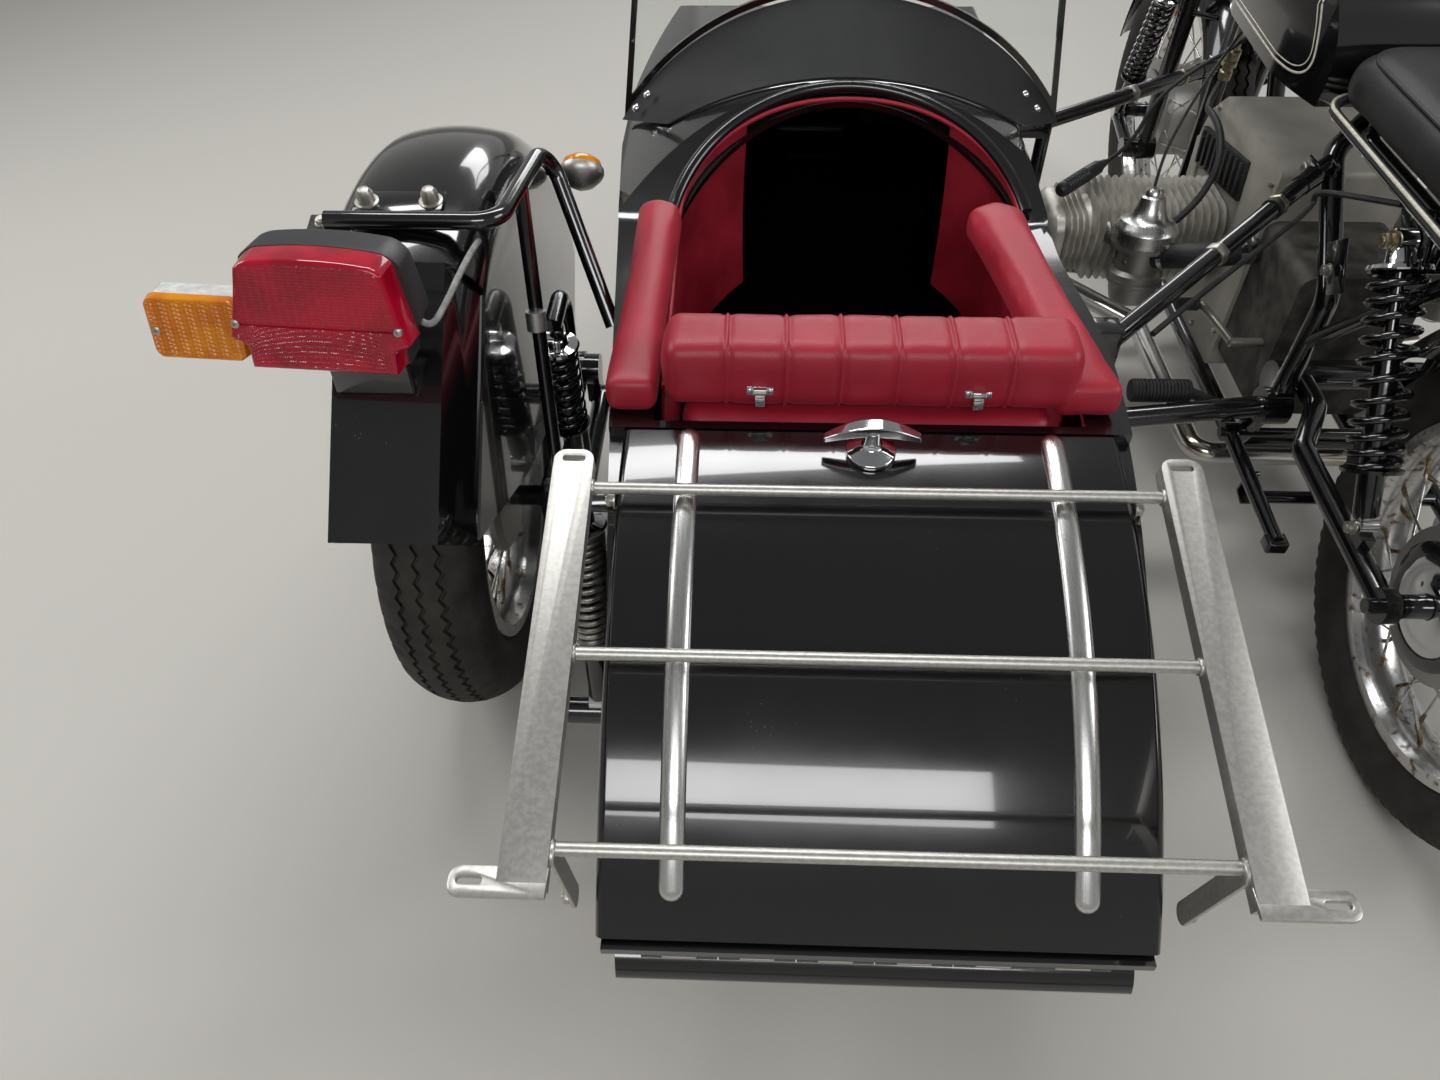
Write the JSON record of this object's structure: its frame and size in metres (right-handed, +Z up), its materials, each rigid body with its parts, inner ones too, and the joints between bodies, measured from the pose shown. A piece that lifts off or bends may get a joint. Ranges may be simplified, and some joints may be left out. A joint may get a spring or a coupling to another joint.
{
  "type": "sidecar motorcycle",
  "caption": "Boxer-twin motorcycle with a boat-shaped sidecar, boot lid with luggage rack, steering, turning wheels and centre stand.",
  "frame": {"origin": "on the ground below the middle of the whole outfit, as it stands on its three wheels", "axes": "+Y forward along the outfit, +X to the right from the sidecar to the motorcycle, +Z up"},
  "size_m": [1.9436, 2.3235, 1.0849],
  "materials": {
    "black_paint": "gloss",
    "black_trim": "gloss",
    "black_plastic": "satin",
    "black_vinyl": "semi-gloss",
    "black_rubber": "matt",
    "black_spring": "gloss",
    "clear_screen": "clear",
    "red_leather": "soft sheen",
    "red_lens": "gloss",
    "amber_lens": "gloss",
    "cast_alloy": "cast",
    "bright_alloy": "bright",
    "satin_alloy": "satin",
    "polished_alloy": "polished",
    "bright_steel": "bright",
    "chrome": "mirror",
    "tyre_rubber": "matt"
  },
  "bodies": {
    "outfit": {"sidecar_body": "black_paint", "cockpit_rim": "black_trim", "front_apron": "black_vinyl", "windscreen": "clear_screen", "windscreen_frame": "black_trim", "seat_cushion": "red_leather", "seat_backrest": "red_leather", "bolster": "red_leather", "cockpit_trim": "red_leather", "armrests": "red_leather", "boot_hinge": "black_paint", "sidecar_chassis": "black_paint", "suspension_arm": "black_paint", "sidecar_shock": "bright_steel", "body_spring": "black_spring", "sidecar_mudguard": "black_paint", "mudguard_tail": "black_paint", "mudguard_rail": "black_paint", "tail_lamp": "black_plastic", "tail_lamp_lens": "red_lens", "side_indicator": "amber_lens", "marker_lamp": "amber_lens", "main_frame": "black_paint", "rear_subframe": "black_paint", "swing_arm": "black_paint", "rear_shocks": "black_spring", "rear_mudguard": "black_paint", "bike_tail_lamp": "red_lens", "engine_block": "cast_alloy", "gearbox": "cast_alloy", "cylinders": "cast_alloy", "carburettors": "bright_alloy", "exhaust": "chrome", "fuel_tank": "black_paint", "bike_seat": "black_vinyl", "footrests": "black_rubber", "foot_levers": "bright_steel", "upper_struts": "black_paint", "lower_mounts": "black_paint"},
    "rear_wheel_set": {"rear_tyre": "tyre_rubber", "rear_wheel": "bright_alloy"},
    "front_wheel_set": {"front_tyre": "tyre_rubber", "front_wheel": "bright_alloy"},
    "sidecar_wheel_set": {"sidecar_tyre": "tyre_rubber", "sidecar_wheel": "bright_alloy"},
    "front_fork": {"fork": "black_paint", "fork_links": "black_paint", "front_springs": "black_spring", "front_mudguard": "black_paint", "headlamp": "black_paint", "handlebar": "chrome", "hand_levers": "bright_alloy"},
    "boot_lid_set": {"boot_lid": "black_paint", "lid_strips": "polished_alloy", "boot_handle": "chrome", "luggage_rack": "satin_alloy"},
    "centre_stand_set": {"centre_stand": "black_paint"}
  },
  "joints": [
    {"name": "steering", "type": "hinge", "parent": "outfit", "child": "front_fork", "pos_m": [0.55675, 0.6122, 0.735], "axis": [0, -0.4447, 0.8957], "range_deg": [-33, 33]},
    {"name": "front_wheel_spin", "type": "hinge", "parent": "front_fork", "child": "front_wheel_set", "pos_m": [0.55675, 0.8152, 0.318], "axis": [1, 0, 0], "continuous": true},
    {"name": "rear_wheel_spin", "type": "hinge", "parent": "outfit", "child": "rear_wheel_set", "pos_m": [0.55675, -0.6498, 0.323], "axis": [1, 0, 0], "continuous": true},
    {"name": "sidecar_wheel_spin", "type": "hinge", "parent": "outfit", "child": "sidecar_wheel_set", "pos_m": [-0.76825, -0.4498, 0.3], "axis": [1, 0, 0], "continuous": true},
    {"name": "boot_lid_hinge", "type": "hinge", "parent": "outfit", "child": "boot_lid_set", "pos_m": [-0.24325, -1.1238, 0.33], "axis": [1, 0, 0], "range_deg": [0, 75]},
    {"name": "centre_stand_hinge", "type": "hinge", "parent": "outfit", "child": "centre_stand_set", "pos_m": [0.55675, -0.1798, 0.215], "axis": [1, 0, 0], "range_deg": [0, 92], "stiffness_Nm_per_rad": 4, "springref_deg": -68.75}
  ]
}
